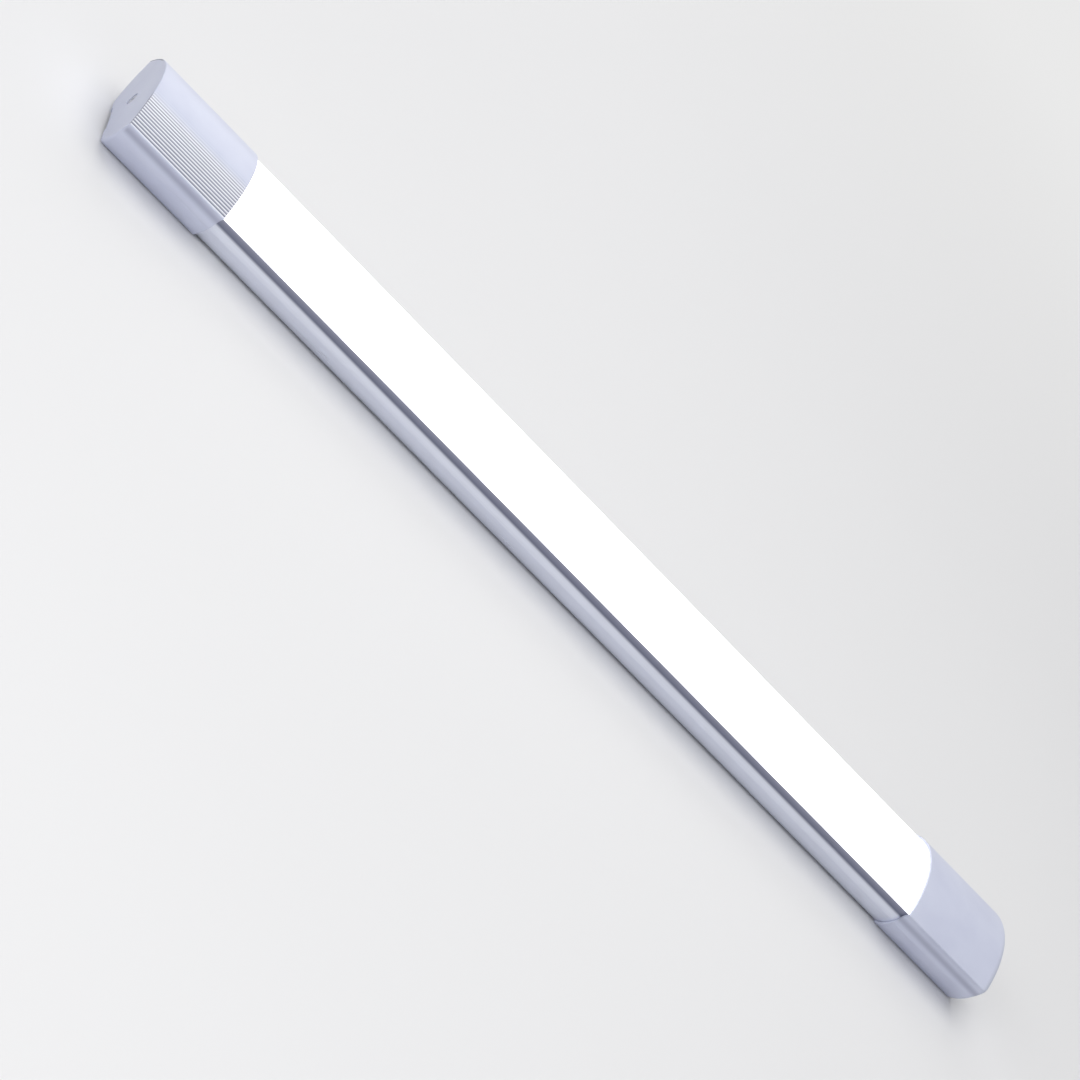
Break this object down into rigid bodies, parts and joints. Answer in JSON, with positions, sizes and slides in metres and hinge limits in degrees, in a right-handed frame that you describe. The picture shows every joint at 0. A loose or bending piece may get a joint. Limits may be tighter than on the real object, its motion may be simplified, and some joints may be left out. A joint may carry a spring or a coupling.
{
  "type": "led batten light",
  "caption": "Surface-mounted LED batten with an opal arched diffuser on an aluminium rail, fluted supply end cap and plain end cap.",
  "frame": {"origin": "centre of the lamp, in the plane of the end caps' feet", "axes": "+X along the lamp from the fluted supply cap to the plain cap, +Z from the feet up through the arch, -Y towards the picture's side"},
  "size_m": [0.6, 0.075, 0.0375],
  "materials": {
    "anodised_rail": "satin silver anodised extrusion",
    "opal_arch": "opal diffusing plastic, lit",
    "cap_plastic": "fine satin moulded plastic, pale lilac grey",
    "zinc_steel": "zinc plated",
    "clip_steel": "zinc plated spring steel strip",
    "board_white": "white solder mask over aluminium",
    "chip_phosphor": "yellow phosphor under clear resin",
    "tray_plastic": "natural polypropylene",
    "board_green": "green solder mask",
    "fuse_ceramic": "fired ceramic body",
    "varistor_blue": "dipped epoxy coat",
    "ferrite": "sintered ferrite",
    "film_red": "epoxy dipped film capacitor",
    "chip_black": "moulded epoxy package",
    "sleeve_black": "shrink sleeve over an aluminium can",
    "terminal_nylon": "natural nylon",
    "brown_wire": "PVC insulation",
    "blue_wire": "PVC insulation",
    "green_yellow_wire": "PVC insulation",
    "red_wire": "PVC insulation",
    "black_wire": "PVC insulation",
    "tinned_brass": "tin plated",
    "grommet_rubber": "black rubber"
  },
  "bodies": {
    "root": {"housing": "anodised_rail", "diffuser": "opal_arch", "supply_end_cap": "cap_plastic", "plain_end_cap": "cap_plastic", "supply_cap_screw": "zinc_steel", "plain_cap_screw": "zinc_steel", "supply_mounting_clip": "clip_steel", "far_mounting_clip": "clip_steel", "led_board": "board_white", "led_chips": "chip_phosphor", "board_screws": "zinc_steel", "driver_tray": "tray_plastic", "driver_board": "board_green", "input_fuse": "fuse_ceramic", "varistor": "varistor_blue", "emi_choke": "ferrite", "film_capacitor": "film_red", "bridge_rectifier": "chip_black", "bulk_capacitor": "sleeve_black", "driver_chip": "chip_black", "power_inductor": "ferrite", "output_diode": "chip_black", "output_capacitor": "sleeve_black", "terminal_block": "terminal_nylon", "terminal_screws": "zinc_steel", "cable_grommet": "grommet_rubber", "ring_terminal": "tinned_brass", "earth_screw": "zinc_steel", "live_wire": "brown_wire", "neutral_wire": "blue_wire", "earth_wire": "green_yellow_wire", "led_plus_wire": "red_wire", "led_minus_wire": "black_wire"}
  },
  "joints": []
}
